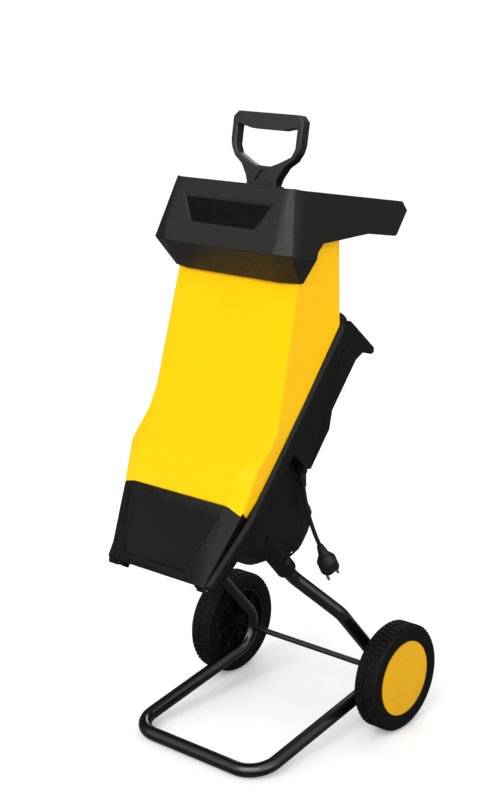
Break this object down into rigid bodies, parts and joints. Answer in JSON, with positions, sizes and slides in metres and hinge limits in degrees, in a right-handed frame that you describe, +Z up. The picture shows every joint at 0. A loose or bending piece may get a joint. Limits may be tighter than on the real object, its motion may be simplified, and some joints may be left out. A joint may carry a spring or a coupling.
{
  "type": "garden shredder",
  "caption": "Upright electric garden shredder: feed hood with plunger, swing-open front over a motor-driven knife disc, bent tube stand on wheels and a short plug lead.",
  "frame": {"origin": "on the floor, below the middle of the overall width and depth", "axes": "+Z up; -Y is the front, where the operator faces the yellow cover; +X is the side that carries the mains lead"},
  "size_m": [0.4014, 0.4828, 1.0066],
  "materials": {
    "black_plastic": "fine textured moulded plastic",
    "hood_plastic": "fine textured moulded plastic",
    "yellow_plastic": "satin moulded plastic",
    "amber_plastic": "satin moulded plastic",
    "gloss_trim": "gloss moulded plastic",
    "stand_paint": "gloss black paint",
    "bright_steel": "zinc plated steel",
    "blade_steel": "ground tool steel",
    "disc_steel": "grey coated steel",
    "lamination": "stacked electrical steel",
    "copper": "enamelled winding",
    "brass": "turned brass",
    "cast_alloy": "cast",
    "base_alloy": "coated cast alloy",
    "tyre_rubber": "moulded hard rubber",
    "cord_rubber": "matt rubber",
    "green_plastic": "gloss moulded plastic",
    "red_plastic": "gloss moulded plastic",
    "fan_plastic": "moulded plastic"
  },
  "bodies": {
    "chassis": {"rear_shell": "black_plastic", "base_plate": "base_alloy", "base_screws": "bright_steel", "front_bracket": "cast_alloy", "motor_screws": "bright_steel", "front_bearing": "bright_steel", "stator": "lamination", "field_coils": "copper", "rear_bracket": "cast_alloy", "rear_bearing": "bright_steel", "brush_holders": "brass", "motor_cap": "black_plastic", "cap_screws": "bright_steel", "switch_plate": "black_plastic", "switch_body": "black_plastic", "interlock_switch": "black_plastic", "cable_gland": "cord_rubber", "power_cord": "cord_rubber", "plug_body": "cord_rubber", "plug_pins": "bright_steel", "stand_tube": "stand_paint", "stand_bolts": "bright_steel", "axle": "bright_steel", "axle_spacers": "black_plastic", "axle_washers": "bright_steel", "axle_caps": "bright_steel", "hinge_pins": "bright_steel"},
    "front_unit": {"feed_hood": "hood_plastic", "hood_panel": "gloss_trim", "front_cover": "yellow_plastic", "lower_guard": "black_plastic", "join_screws": "bright_steel", "chute_back": "black_plastic", "back_screws": "bright_steel", "anvil": "blade_steel", "anvil_bolts": "bright_steel", "lock_insert": "brass", "hood_screws": "bright_steel"},
    "plunger": {"plunger_grip": "black_plastic", "plunger_paddle": "black_plastic", "plunger_bolts": "bright_steel"},
    "lock": {"lock_knob": "black_plastic", "lock_screw": "bright_steel"},
    "rotor": {"motor_shaft": "bright_steel", "armature": "lamination", "commutator": "copper", "cooling_fan": "fan_plastic", "knife_disc": "disc_steel", "knife_blades": "blade_steel", "blade_screws": "bright_steel", "disc_nut": "bright_steel"},
    "power_rocker": {"rocker": "green_plastic"},
    "overload_button": {"reset_button": "red_plastic"},
    "wheel_left": {"tyre_left": "tyre_rubber", "rim_left": "black_plastic", "hubcap_left": "amber_plastic"},
    "wheel_right": {"tyre_right": "tyre_rubber", "rim_right": "black_plastic", "hubcap_right": "amber_plastic"}
  },
  "joints": [
    {"name": "front_swing", "type": "hinge", "parent": "chassis", "child": "front_unit", "pos_m": [0, -0.22549, 0.33479], "axis": [1, 0, 0], "range_deg": [0, 80]},
    {"name": "plunger_slide", "type": "slide", "parent": "front_unit", "child": "plunger", "axis": [0, 0.1736, 0.9848], "range_m": [0, 0.25]},
    {"name": "lock_turn", "type": "hinge", "parent": "chassis", "child": "lock", "pos_m": [0, 0.09925, 0.60304], "axis": [0, -0.7593, 0.6508], "continuous": true},
    {"name": "rotor_spin", "type": "hinge", "parent": "chassis", "child": "rotor", "pos_m": [0, -0.12744, 0.46148], "axis": [0, -0.7593, 0.6508], "continuous": true},
    {"name": "rocker_tilt", "type": "hinge", "parent": "chassis", "child": "power_rocker", "pos_m": [-0.02, 0.0268, 0.50314], "axis": [1, 0, 0], "range_deg": [-16, 0]},
    {"name": "button_press", "type": "slide", "parent": "chassis", "child": "overload_button", "axis": [0, -0.7593, 0.6508], "range_m": [0, 0.004], "stiffness_N_per_m": 400, "springref_m": -0.001},
    {"name": "wheel_left_spin", "type": "hinge", "parent": "chassis", "child": "wheel_left", "pos_m": [0, 0.15143, 0.09], "axis": [1, 0, 0], "continuous": true},
    {"name": "wheel_right_spin", "type": "hinge", "parent": "chassis", "child": "wheel_right", "pos_m": [0, 0.15143, 0.09], "axis": [1, 0, 0], "continuous": true}
  ]
}
